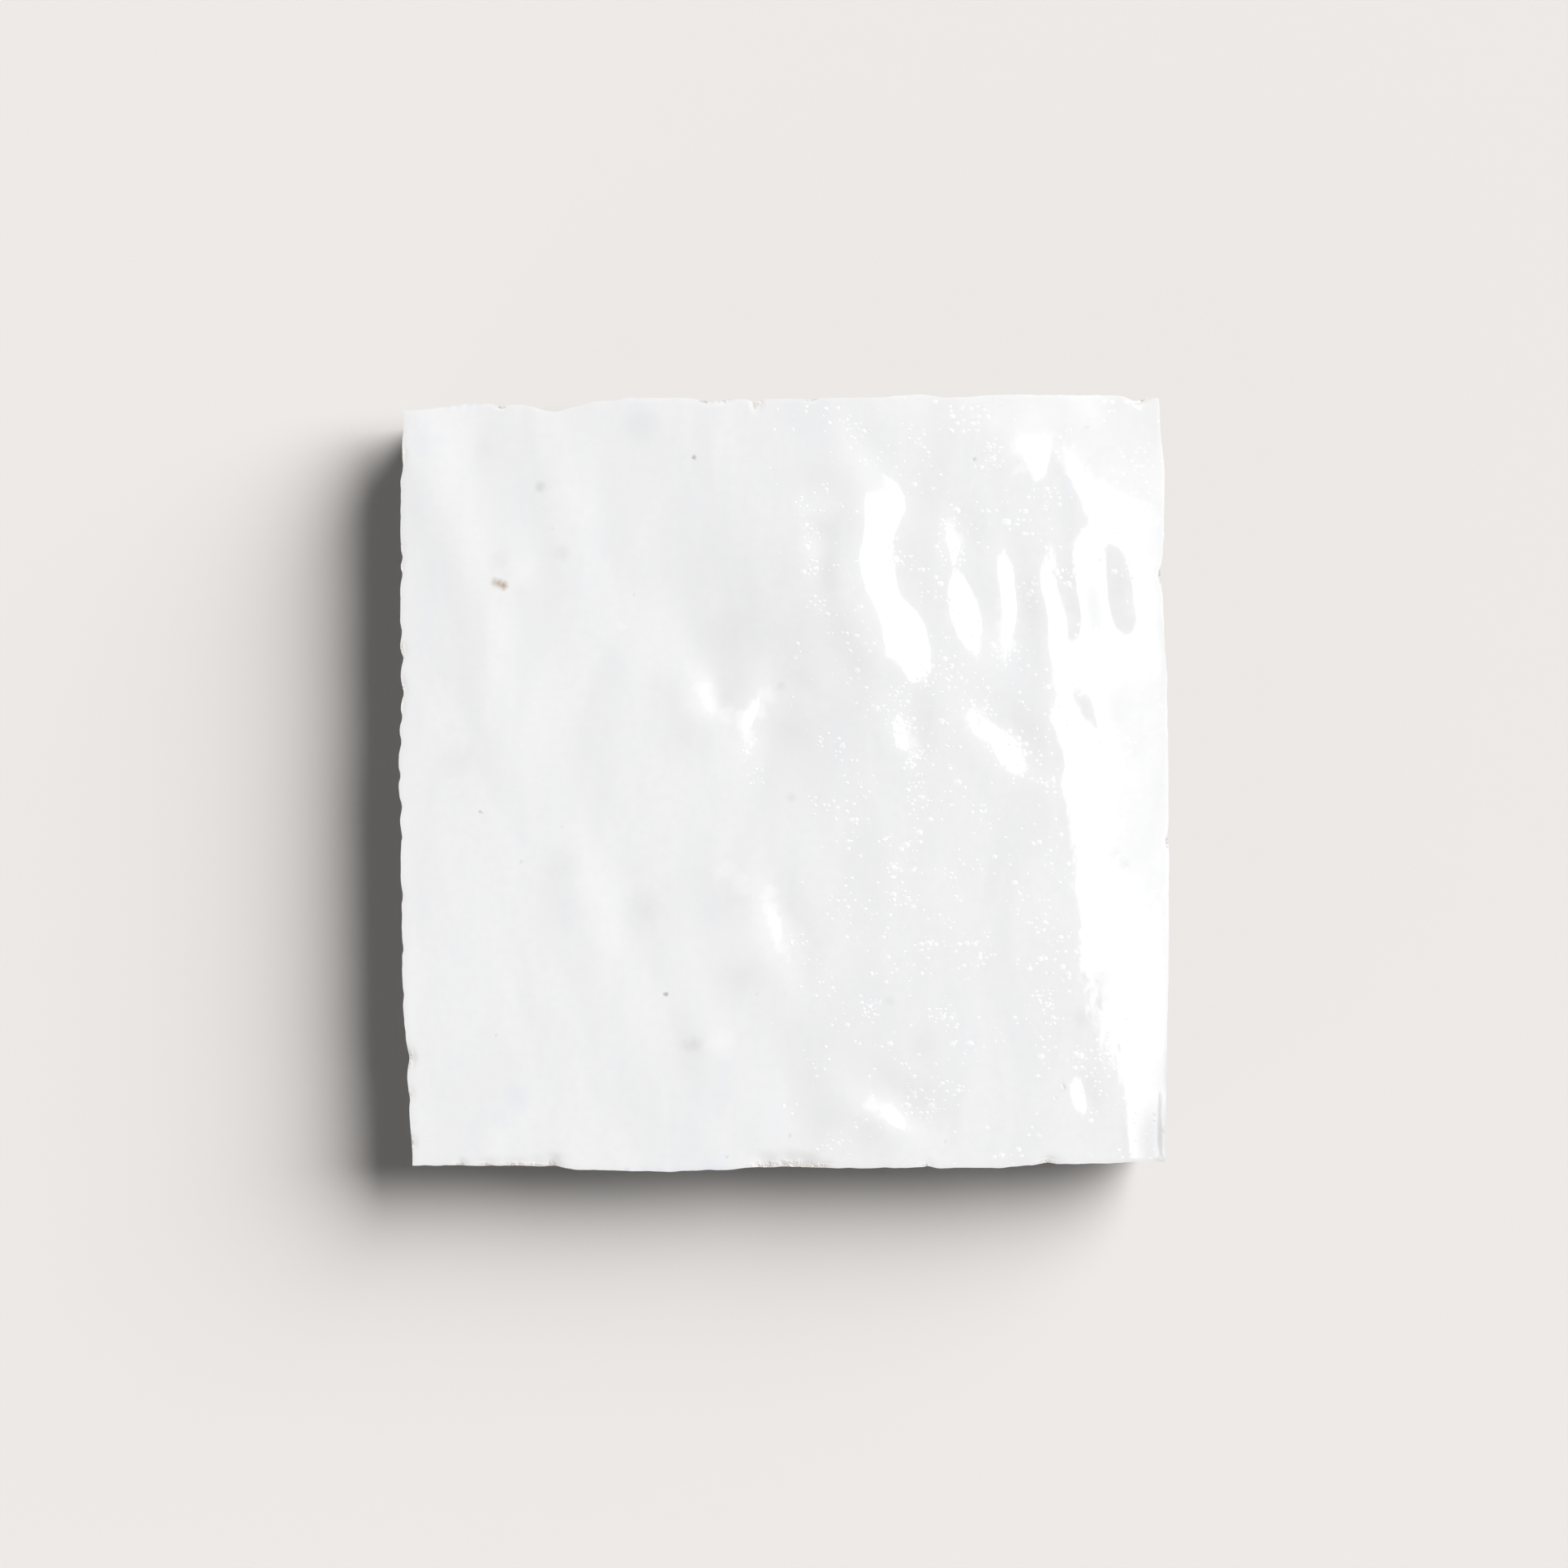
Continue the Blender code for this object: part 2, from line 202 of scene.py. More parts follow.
# Where the glaze stops on the flanks, and the runs that went further: (place, width, reach)
glazeEdge = {
    "depth": 1.5,
    "wanders": ((1.0, 0.16, 8.0), (0.35, 0.7, 5.0)),  # (reach, turns to the mm, noise layer)
    "lip": 0.16,  # its thickness over the clay
    "lipWidth": 0.5,
    "far": 5.0,  # reach written where the glaze's edge is nowhere near
    "runEnd": 0.4,  # less is blunter
    "runs": {
        "left": ((-22.0, 4.2, 1.9), (8.0, 6.5, 1.2), (31.0, 4.0, 2.8)),
        "right": ((-34.0, 4.6, 2.2), (-3.0, 5.0, 1.1), (22.0, 5.4, 1.5)),
        "bottom": ((-12.0, 4.6, 2.4), (15.0, 5.2, 1.2), (37.0, 4.2, 1.5)),
        "top": ((-27.0, 4.4, 1.4), (6.0, 4.2, 3.0), (33.0, 6.0, 1.2)),
    },
}


def bell(distance, halfWidth):
    return math.exp(-0.5 * (distance / halfWidth) ** 2)


def ease(value):
    value = min(1.0, max(0.0, value))
    return value * value * (3 - 2 * value)


def roundEnd(distance, halfWidth):
    # outline of a run's blunt end
    return max(0.0, 1 - (distance / halfWidth) ** 2) ** glazeEdge["runEnd"]


def readLine(points, along):
    # smooth curve through a cut line's points
    if along <= points[0][0]:
        return points[0][1]
    for (start, outA), (end, outB) in zip(points, points[1:]):
        if along <= end:
            return outA + (outB - outA) * ease((along - start) / (end - start))
    return points[-1][1]


def arrisOut(side, along):
    row = tileShape["noiseRow"][side]
    out = readLine(cutLines[side], along)
    for reach, turns, layer in tileShape["nibbles"]:
        out += reach * noise.noise(Vector((along * turns, row, layer)))
    for place, width, depth in nicks[side]:
        out -= depth * bell(along - place, width / tileShape["nickBell"])
    return out


def faceHeight(x, y):
    spot = Vector((x / wander["length"], y / wander["length"], 1.3))
    wx = x + wander["reach"] * noise.noise(spot)
    wy = y + wander["reach"] * noise.noise(spot + Vector((0, 0, 7.0)))
    height = tileShape["thickness"]
    for cx, cy, lean, halfLength, halfWidth, rise in relief:
        a = math.radians(lean)
        along = (wx - cx) * math.sin(a) - (wy - cy) * math.cos(a)
        across = (wx - cx) * math.cos(a) + (wy - cy) * math.sin(a)
        height += rise * bell(along, halfLength) * bell(across, halfWidth)
    return height


def dentAt(side, along, margin):
    # (drop of the face, how bare the clay is) beside a chipped stretch of arris
    drop, bare = 0.0, 0.0
    for place, width, reach, fall in dents[side]:
        slope = reach * dentShape["slope"]
        if margin < slope:
            here = bell(along - place, width / dentShape["bell"])
            drop += dentShape["deepest"] * fall * here * ease(1 - margin / slope)
            bare = max(bare, here * ease(dentShape["bareFrom"] - dentShape["bareFall"] * margin / reach))
    return drop, bare


def makeBites(rng):
    found = []
    for row in bites["rows"]:
        place = -tileShape["half"] - bites["past"]
        while place < tileShape["half"] + bites["past"]:
            found.append((place, rng.uniform(*row["depth"]), rng.uniform(*row["halfWidth"]),
                          rng.uniform(*row["halfHeight"]), rng.uniform(*row["bite"])))
            place += rng.uniform(*row["step"])
    return found


def glazeReach(side, along, depth):
    # millimetres from here to the glaze's lower edge, less than nothing on bare clay
    row = tileShape["noiseRow"][side]
    edge = glazeEdge["depth"]
    for reach, turns, layer in glazeEdge["wanders"]:
        edge += reach * noise.noise(Vector((along * turns, row, layer)))
    for place, width, reach in glazeEdge["runs"][side]:
        edge += reach * roundEnd(along - place, width / 2)
    return edge - depth


def flankInset(side, sideBites, along, depth):
    # how far the flank lies inside the arris, depth millimetres down
    least = tileShape["cornerLeast"]
    fade = least + (1 - least) * ease((tileShape["half"] - abs(along)) / tileShape["cornerPlain"])
    below = ease(depth / bites["from"])
    inset = tileShape["slopesIn"][side] * max(0.0, depth - tileShape["rimDepth"]) / tileShape["thickness"]
    deepest = 0.0
    for place, centre, halfWidth, halfHeight, bite in sideBites:
        bowl = 1 - ((along - place) / halfWidth) ** 2 - ((depth - centre) / halfHeight) ** 2
        deepest = max(deepest, bite * bowl)
    inset += deepest * fade * below
    row = tileShape["noiseRow"][side]
    turns = bites["grainTurns"]
    grain = noise.fractal(Vector((along * turns, depth * turns, row)), 0.8, 2.1, 4)
    inset += bites["grain"] * grain * below * fade
    inset += glazeEdge["lip"] * ease(-glazeReach(side, along, depth) / glazeEdge["lipWidth"]) * below
    return max(0.0, inset)


backRelief = {
    "level": 0.06,
    "wipe": 0.05,  # long strokes across the tile
    "pits": 0.16,
    "pitTurns": 0.33,
}


def backHeight(x, y):
    # rough, wiped clay: shallow hollows above the plane that the tile lies on
    turns = backRelief["pitTurns"]
    wipe = noise.noise(Vector((x * 0.05 + y * 0.02, y * 0.35, 2.0)))
    pits = noise.fractal(Vector((x * turns, y * turns, 4.0)), 1.0, 2.0, 4)
    return max(0.0, backRelief["level"] + backRelief["wipe"] * wipe + backRelief["pits"] * pits)


def crowdLines(share):
    reach = tileShape["crowding"] * math.pi / 2
    return math.sin(share * reach) / math.sin(reach)


def cutBlank():
    # a cube of side 2 cut into the face's squares and the flank's rows
    blank = bmesh.new()
    bmesh.ops.create_cube(blank, size=2)
    level = [edge for edge in blank.edges if abs(edge.verts[0].co.z - edge.verts[1].co.z) < 0.01]
    bmesh.ops.subdivide_edges(blank, edges=level, cuts=tileShape["cells"] - 1, use_grid_fill=True)
    upright = [edge for edge in blank.edges if abs(edge.verts[0].co.z - edge.verts[1].co.z) > 0.01]
    bmesh.ops.subdivide_edges(blank, edges=upright, cuts=tileShape["flankRows"] - 1)
    return blank


def shapeBlank(blank):
    rng = random.Random(bites["seed"])
    sideBites = {side: makeBites(rng) for side in cutLines}
    reachLayer = blank.verts.layers.float.new("glazeReach")
    bareLayer = blank.verts.layers.float.new("bareClay")
    rows, half, thickness = tileShape["flankRows"], tileShape["half"], tileShape["thickness"]
    outlines = {}
    for vert in blank.verts:
        across, up = crowdLines(vert.co.x), crowdLines(vert.co.y)
        row = round((1 - vert.co.z) / 2 * rows)
        share = (row / rows) ** tileShape["rowCrowding"]
        depth = share * thickness
        out = {}
        for side in cutLines:
            along = round(half * (up if side in ("left", "right") else across), 4)
            key = (side, along, row)
            if key not in outlines:
                outlines[key] = arrisOut(side, along) - flankInset(side, sideBites[side], along, depth)
            out[side] = outlines[key]
        x = ((1 + across) * out["right"] - (1 - across) * out["left"]) / 2
        y = ((1 + up) * out["top"] - (1 - up) * out["bottom"]) / 2
        onFlank = max(abs(across), abs(up)) > 0.99999
        if row == rows and not onFlank:
            z = backHeight(x, y)
            vert[reachLayer] = -glazeEdge["far"]
        else:
            margins = {"right": out["right"] - x, "left": out["left"] + x,
                       "top": out["top"] - y, "bottom": out["bottom"] + y}
            near = min(margins, key=margins.get)
            margin = margins[near]
            drop, bare = 0.0, 0.0
            for side in cutLines:
                sideDrop, sideBare = dentAt(side, y if side in ("left", "right") else x, margins[side])
                drop += sideDrop
                bare = max(bare, sideBare)
            roll = tileShape["rollDrop"] * max(0.0, 1 - margin / tileShape["rollWidth"]) ** 2
            z = (faceHeight(x, y) - roll - drop) * (1 - share)
            along = half * (up if near in ("left", "right") else across)
            vert[reachLayer] = glazeReach(near, along, depth) if onFlank else glazeEdge["far"]
            vert[bareLayer] = bare * ease(1 - depth / dentShape["bareDepth"])
        vert.co = (x, y, z)


def fitToFrame(blank):
    # the outer box's middle comes over the origin, and nothing stands outside the CAD box
    for axis in range(2):
        places = [vert.co[axis] for vert in blank.verts]
        middle = (min(places) + max(places)) / 2
        for vert in blank.verts:
            vert.co[axis] -= middle
    low, high = tileLow / mm, tileHigh / mm
    for vert in blank.verts:
        for axis in range(3):
            vert.co[axis] = min(high[axis], max(low[axis], vert.co[axis]))


def makeTile():
    blank = cutBlank()
    shapeBlank(blank)
    fitToFrame(blank)
    bmesh.ops.scale(blank, verts=blank.verts, vec=(mm, mm, mm))
    mesh = bpy.data.meshes.new("glazedTile")
    blank.to_mesh(mesh)
    blank.free()
    mesh.shade_smooth()
    mesh.set_sharp_from_angle(angle=math.radians(tileShape["sharpFrom"]))
    tile = bpy.data.objects.new("glazedTile", mesh)
    bpy.context.scene.collection.objects.link(tile)
    return tile


glazedTile = makeTile()
print("tile mesh made,", len(glazedTile.data.polygons) * 2, "triangles")

# Glaze and clay

glazeLooks = {
    "white": (0.925, 0.925, 0.925, 1.0),
    "shade": (0.855, 0.857, 0.865, 1.0),
    "light": (0.95, 0.95, 0.95, 1.0),
    "blue": (0.81, 0.845, 0.91, 1.0),
    # whiter glaze for painted highlights, standing in for faint reflections and glints
    "clear": (0.985, 0.985, 0.985, 1.0),
    # grey of the stains, also laid on as painted shade at the lower right corner's edge
    "stainAndShadeGrey": (0.55, 0.55, 0.57, 1.0),
    "rust": (0.42, 0.29, 0.17, 1.0),
    "speck": (0.035, 0.028, 0.026, 1.0),
    "speckStray": (1.1, 0.9),  # (turns to the millimetre, reach) of the outlines of specks, stains and painted shade
    # the painted highlights' outlines stray this way: (turns to the millimetre, reach)
    "highlightStray": (0.55, 2.6),
    "speckCore": 0.1,  # dark specks and painted highlight dabs are full up to these shares of their radius
    "highlightCore": 0.35,
    "whiteShare": 0.62,  # how far the clouds are drawn back to plain white
    "tintShare": 0.16,
    "cloudLean": -16.0,  # degrees
    "ripple": 0.006,  # millimetres, like the next two
    "pinhole": 0.06,
    "chipGrain": 0.16,
    "roughness": 0.04,
    "ior": 1.55,
}
clayLooks = {
    "buff": (0.54, 0.42, 0.31, 1.0),
    "pale": (0.66, 0.56, 0.45, 1.0),
    "dark": (0.36, 0.26, 0.18, 1.0),
    "grain": 0.32,  # millimetres
    "roughness": 0.88,
}

# Specks, stains, painted shade, painted highlights and bluish breaks in the glaze: (x, y, radius, strength)
darkSpecks = (
    (-11.7, 42.2, 0.46, 0.40), (-15.3, -27.4, 0.46, 0.42), (24.6, 42.1, 0.42, 0.22),
    (-34.2, -10.3, 0.26, 0.17), (-37.4, -32.7, 0.26, 0.14), (-28.8, -5.6, 0.26, 0.10),
    (-3.5, -27.4, 0.26, 0.08), (0.7, -45.8, 0.34, 0.12), (-7.4, -48.5, 0.32, 0.13),
    (36.2, -39.4, 0.40, 0.16), (35.2, -41.0, 0.26, 0.10), (-19.4, 24.4, 0.22, 0.14),
    (-30.2, 33.0, 0.22, 0.10), (21.0, -46.5, 0.3, 0.10),
)
rustySpecks = (
    (-37.4, 26.0, 0.8, 0.5), (-37.0, 25.9, 0.85, 0.65), (-36.4, 25.7, 0.8, 0.8),
    (-39.4, -3.7, 0.32, 0.45), (39.4, 46.2, 0.4, 0.16),
)
# Grey stains in the glaze; the two broad spots at the lower right corner's edge are painted shade, and a
# broad faint one darkens the upper right corner
stainsAndPaintedShade = (
    (-31.7, 38.4, 1.0, 0.36), (-28.6, 29.9, 1.5, 0.14), (-12.4, -34.0, 1.3, 0.18), (-11.6, -33.9, 1.4, 0.24),
    (0.9, -1.9, 0.9, 0.18), (-0.4, 12.6, 0.8, 0.2), (13.7, -28.2, 0.8, 0.14), (41.8, -27.8, 1.8, 0.2),
    (41.2, -25.2, 2.6, 0.26), (36.2, -39.4, 1.0, 0.12), (38.6, -30.4, 1.8, 0.14), (42.8, -9.2, 1.2, 0.12),
    (44.2, -10.4, 1.1, 0.16), (52.0, -38.0, 6.5, 0.5), (51.5, -45.5, 8.0, 0.6), (47.5, 47.0, 10.0, 0.22),
    (-37.0, 29.0, 1.8, 0.10), (-18.6, 46.2, 3.6, 0.10), (-38.6, 43.4, 3.6, 0.06), (-42.4, 3.0, 3.4, 0.10),
    (-18.2, -16.6, 3.4, 0.12), (-28.6, -11.0, 3.0, 0.08), (6.0, -44.0, 3.6, 0.08), (-5.0, -25.0, 3.4, 0.06),
    (17.8, -34.0, 2.6, 0.08), (-9.0, 19.0, 5.0, 0.05), (7.4, 34.0, 2.6, 0.04),
)
# Painted light: paler glaze standing in for faint reflections and lit sides of small swells, and lifting a
# shaded patch in the right margin
paintedLightSpots = (
    (-34.6, 27.3, 2.6, 0.40), (-21.0, 20.4, 0.8, 0.55), (-8.0, -33.6, 2.4, 0.40), (-41.4, 5.0, 0.8, 0.35),
    (-30.0, 37.4, 2.0, 0.20), (46.2, 23.5, 3.6, 0.7), (45.6, 28.0, 2.6, 0.5), (36.6, 24.6, 2.6, 0.4),
    (36.9, 21.0, 2.4, 0.4), (2.0, 10.5, 4.6, 0.75), (5.6, 15.0, 6.0, 0.6), (-14.4, 9.0, 4.2, 0.7),
    (-5.8, -20.2, 5.4, 0.7), (4.6, 36.0, 4.0, 0.6), (4.4, 31.0, 3.4, 0.5), (8.0, -44.6, 3.6, 0.3),
    (-15.0, 20.0, 7.0, 0.2), (32.6, 46.8, 4.2, 0.6), (27.6, 47.0, 2.4, 0.4), (38.0, 43.4, 3.0, 0.4),
)
# Painted highlights: whiter dabs that strengthen the fainter reflected patches on the glaze
paintedHighlightDabs = (
    # forked dab and slit near the middle
    (-10.2, 12.0, 1.6, 0.75), (-9.6, 9.9, 1.6, 0.7), (-7.4, 9.0, 1.5, 0.8), (-5.4, 8.0, 1.6, 0.85),
    (-4.7, 6.0, 1.3, 0.85), (-3.4, 9.7, 1.5, 0.8), (-2.2, 11.3, 1.5, 0.7),
    (-7.4, -11.4, 1.9, 0.45), (-5.6, -13.0, 1.6, 0.45), (-2.0, -14.4, 1.3, 0.6), (-1.7, -16.2, 1.3, 0.6),
    (-1.3, -18.0, 1.3, 0.65), (-0.9, -19.8, 1.2, 0.6), (-0.3, -21.4, 1.1, 0.6), (0.3, -22.8, 0.8, 0.5),
    # right of the middle
    (15.6, 7.4, 1.1, 0.7), (16.1, 5.6, 1.3, 0.8), (16.8, 3.8, 1.0, 0.6), (24.6, 8.4, 1.5, 0.7),
    (26.0, 6.8, 1.5, 0.7), (28.6, 20.6, 1.5, 0.8), (29.0, 18.4, 1.5, 0.8), (28.4, 23.2, 1.4, 0.6),
    (28.4, 26.2, 1.2, 0.7), (22.0, 31.4, 1.2, 0.7), (21.4, 33.4, 0.9, 0.6),
    # by the top edge and down to the right margin
    (31.0, 43.0, 1.8, 0.8), (33.6, 42.6, 1.6, 0.8), (30.4, 40.6, 1.0, 0.6), (30.4, 44.6, 1.5, 0.6),
    (35.4, 43.6, 1.5, 0.7), (36.6, 42.2, 1.6, 0.85), (38.0, 40.8, 1.7, 0.85), (39.4, 39.4, 1.7, 0.8),
    (41.0, 38.2, 1.7, 0.7), (42.6, 37.0, 1.7, 0.6),
    # by the lower edge
    (11.4, -41.6, 1.3, 0.8), (13.0, -42.4, 1.4, 0.8), (14.6, -43.8, 1.3, 0.8),
)
blueTints = (
    (-34.6, -40.9, 2.6, 0.5), (-36.6, -43.4, 2.4, 0.3), (-18.6, 47.0, 3.0, 0.3), (-9.0, -50.2, 3.0, 0.4),
    (-20.4, -50.3, 0.7, 1.0), (-18.0, -50.6, 1.0, 0.8), (-16.2, -50.7, 1.1, 0.9), (-14.2, -50.6, 1.0, 0.8),
    (-12.0, -50.6, 1.0, 0.6), (-43.6, 49.2, 0.8, 1.0), (-42.2, 49.3, 0.8, 1.0), (-40.8, 49.4, 0.8, 1.0),
    (-39.6, 49.4, 0.7, 1.0), (-46.6, 44.0, 2.6, 0.3),
)

# Where the droplets crowd: (x, y, radius, how many of them are there)
dropletCrowds = (
    (7.3, 48.0, 2.4, 0.45), (9.2, 45.0, 2.4, 0.5), (11.2, 41.8, 2.2, 0.45),
    (2.2, 36.0, 2.0, 0.5), (3.2, 32.5, 2.0, 0.6), (3.8, 27.8, 1.8, 0.7), (4.6, 23.4, 2.0, 0.6),
    (18.6, 25.0, 2.2, 0.5), (20.2, 18.5, 2.6, 0.5), (18.4, 13.6, 2.6, 0.6),
    (21.4, 33.4, 2.0, 0.9), (22.6, 29.6, 2.0, 0.9), (28.6, 17.2, 2.6, 0.6), (31.4, 25.0, 2.4, 0.5),
    (37.4, 27.0, 3.2, 0.5), (27.0, 42.6, 3.0, 0.5), (34.0, 37.0, 3.0, 0.4),
    (14.6, 11.4, 2.4, 0.7), (15.6, 7.4, 2.8, 1.0), (16.8, 3.0, 2.4, 0.8), (17.4, -1.0, 2.2, 0.5),
    (22.0, 14.0, 3.2, 0.6), (25.0, 9.4, 3.2, 0.8), (30.0, 4.6, 3.4, 0.6), (34.6, 0.6, 2.0, 0.7),
    (-4.6, 4.6, 1.8, 0.9), (-3.8, 1.0, 1.6, 0.6), (5.0, 5.6, 1.0, 0.8),
    (13.6, -7.4, 1.6, 0.9), (14.2, -11.0, 1.8, 0.9), (16.0, -15.0, 2.2, 0.5), (18.4, -21.0, 2.6, 0.4),
    (26.0, -22.4, 1.8, 0.8), (11.2, -29.2, 2.4, 0.7), (20.6, -30.4, 2.6, 0.6), (34.2, -28.0, 2.4, 0.6),
    (1.8, -20.0, 1.8, 0.7), (38.4, -36.0, 2.0, 0.6), (41.8, -34.0, 2.0, 0.6), (18.6, -42.4, 2.4, 0.5),
)
dropletLooks = {
    "layers": ((1.7, 0.24, 1.0), (1.05, 0.36, 0.9), (0.62, 0.5, 0.55)),  # (cells to the mm, radius, share)
    "fewest": 0.2,  # scattered between the crowds
    "startX": (-3.0, 8.0),  # none left of the first of these places
    "riseX": (0.0, 38.0),
    "rises": (0.020, 0.010),  # at those two places
    # each droplet is painted this much whiter: a painted glint that also hides its shaded side
    "dropletGlintPaint": 0.95,
}


def addNode(tree, kind, **values):
    node = tree.nodes.new(kind)
    for name, value in values.items():
        setattr(node, name, value)
    return node


def mathNode(tree, operation, first, second=None, third=None):
    node = addNode(tree, "ShaderNodeMath", operation=operation)
    for socket, value in zip(node.inputs, (first, second, third)):
        if value is None:
            continue
        if isinstance(value, (int, float)):
            socket.default_value = value
        else:
            tree.links.new(value, socket)
    return node.outputs[0]


def mixColour(tree, factor, first, second):
    node = addNode(tree, "ShaderNodeMix", data_type="RGBA")
    for socket, value in ((node.inputs[0], factor), (node.inputs[6], first), (node.inputs[7], second)):
        if isinstance(value, (int, float, tuple)):
            socket.default_value = value
        else:
            tree.links.new(value, socket)
    return node.outputs[2]


def ramp(tree, value, low, high, toLow=0.0, toHigh=1.0):
    node = addNode(tree, "ShaderNodeMapRange", interpolation_type="SMOOTHSTEP")
    tree.links.new(value, node.inputs["Value"])
    for name, number in (("From Min", low), ("From Max", high), ("To Min", toLow), ("To Max", toHigh)):
        if isinstance(number, (int, float)):
            node.inputs[name].default_value = number
        else:
            tree.links.new(number, node.inputs[name])
    return node.outputs["Result"]


def noiseNode(tree, vector, scale, detail=2.0, roughness=0.5, distortion=0.0):
    node = addNode(tree, "ShaderNodeTexNoise")
    tree.links.new(vector, node.inputs["Vector"])
    node.inputs["Scale"].default_value = scale
    node.inputs["Detail"].default_value = detail
    node.inputs["Roughness"].default_value = roughness
    node.inputs["Distortion"].default_value = distortion
    return node.outputs["Fac"]


def newGroup(name, inputs, outputs):
    group = bpy.data.node_groups.new(name, "ShaderNodeTree")
    for title, kind in inputs:
        group.interface.new_socket(title, in_out="INPUT", socket_type=kind)
    for title, kind in outputs:
        group.interface.new_socket(title, in_out="OUTPUT", socket_type=kind)
    return group, addNode(group, "NodeGroupInput"), addNode(group, "NodeGroupOutput")


def makeSpotGroup():
    # a soft round spot at a place on the face
    group, source, result = newGroup(
        "spotMask",
        (("Vector", "NodeSocketVector"), ("Centre", "NodeSocketVector"), ("Radius", "NodeSocketFloat"),
         ("Core", "NodeSocketFloat"), ("Strength", "NodeSocketFloat")),
        (("Mask", "NodeSocketFloat"),),
    )
    away = addNode(group, "ShaderNodeVectorMath", operation="DISTANCE")
    group.links.new(source.outputs["Vector"], away.inputs[0])
    group.links.new(source.outputs["Centre"], away.inputs[1])
    share = mathNode(group, "DIVIDE", away.outputs["Value"], source.outputs["Radius"])
    mask = ramp(group, share, 1.1, source.outputs["Core"])
    group.links.new(mathNode(group, "MULTIPLY", mask, source.outputs["Strength"]), result.inputs["Mask"])
    return group


def makeDropletGroup():
    # tiny sagged drops scattered over the glaze, at most one to a cell, each steeper on its +X side
    group, source, result = newGroup(
        "glazeDroplets",
        (("Vector", "NodeSocketVector"), ("Scale", "NodeSocketFloat"), ("Radius", "NodeSocketFloat"),
         ("Crowd", "NodeSocketFloat"), ("Rise", "NodeSocketFloat")),
        (("Height", "NodeSocketFloat"), ("Mask", "NodeSocketFloat")),
    )
    cells = addNode(group, "ShaderNodeTexVoronoi", voronoi_dimensions="2D")
    group.links.new(source.outputs["Vector"], cells.inputs["Vector"])
    group.links.new(source.outputs["Scale"], cells.inputs["Scale"])
    cells.inputs["Randomness"].default_value = 1.0
    luck = addNode(group, "ShaderNodeSeparateColor")
    group.links.new(cells.outputs["Color"], luck.inputs[0])
    offset = addNode(group, "ShaderNodeVectorMath", operation="SUBTRACT")
    group.links.new(source.outputs["Vector"], offset.inputs[0])
    group.links.new(cells.outputs["Position"], offset.inputs[1])
    axes = addNode(group, "ShaderNodeSeparateXYZ")
    group.links.new(offset.outputs[0], axes.inputs[0])
    steep = mathNode(group, "MAXIMUM", axes.outputs[0], 0.0)
    gentle = mathNode(group, "MULTIPLY", mathNode(group, "MINIMUM", axes.outputs[0], 0.0), 0.7)
    across = mathNode(group, "ADD", steep, gentle)
    square = mathNode(group, "ADD", mathNode(group, "MULTIPLY", across, across),
                      mathNode(group, "MULTIPLY", axes.outputs[1], axes.outputs[1]))
    size = mathNode(group, "MULTIPLY_ADD", luck.outputs[0], 0.65, 0.35)
    radius = mathNode(group, "MULTIPLY", size, source.outputs["Radius"])
    share = mathNode(group, "DIVIDE", square, mathNode(group, "MULTIPLY", radius, radius))
    inside = mathNode(group, "MAXIMUM", mathNode(group, "SUBTRACT", 1.0, share), 0.0)
    drop = mathNode(group, "MULTIPLY", mathNode(group, "MULTIPLY", inside, inside), size)
    here = mathNode(group, "LESS_THAN", luck.outputs[1], source.outputs["Crowd"])
    drop = mathNode(group, "MULTIPLY", drop, here)
    group.links.new(mathNode(group, "MULTIPLY", drop, source.outputs["Rise"]), result.inputs["Height"])
    group.links.new(mathNode(group, "MULTIPLY", ramp(group, inside, 0.0, 0.35), here), result.inputs["Mask"])
    return group


spotGroup = makeSpotGroup()
dropletGroup = makeDropletGroup()


def spotField(tree, vector, spots, core=0.0):
    # the strongest of a list of spots, each full up to this share of its radius
    total = None
    for x, y, radius, strength in spots:
        spot = addNode(tree, "ShaderNodeGroup", node_tree=spotGroup)
        tree.links.new(vector, spot.inputs["Vector"])
        spot.inputs["Centre"].default_value = (x, y, 0)
        spot.inputs["Radius"].default_value = radius
        spot.inputs["Core"].default_value = core
        spot.inputs["Strength"].default_value = strength
        mask = spot.outputs["Mask"]
        total = mask if total is None else mathNode(tree, "MAXIMUM", total, mask)
    return total


def strayPlace(tree, vector, scale, reach):
    # a place that wanders a little, so that no speck or pool is a true disc
    wobble = addNode(tree, "ShaderNodeTexNoise")
    tree.links.new(vector, wobble.inputs["Vector"])
    wobble.inputs["Scale"].default_value = scale
    centred = addNode(tree, "ShaderNodeVectorMath", operation="SUBTRACT")
    tree.links.new(wobble.outputs["Color"], centred.inputs[0])
    centred.inputs[1].default_value = (0.5, 0.5, 0.5)
    shifted = addNode(tree, "ShaderNodeVectorMath", operation="MULTIPLY_ADD")
    tree.links.new(centred.outputs[0], shifted.inputs[0])
    shifted.inputs[1].default_value = (reach, reach, 0)
    tree.links.new(vector, shifted.inputs[2])
    return shifted.outputs[0]


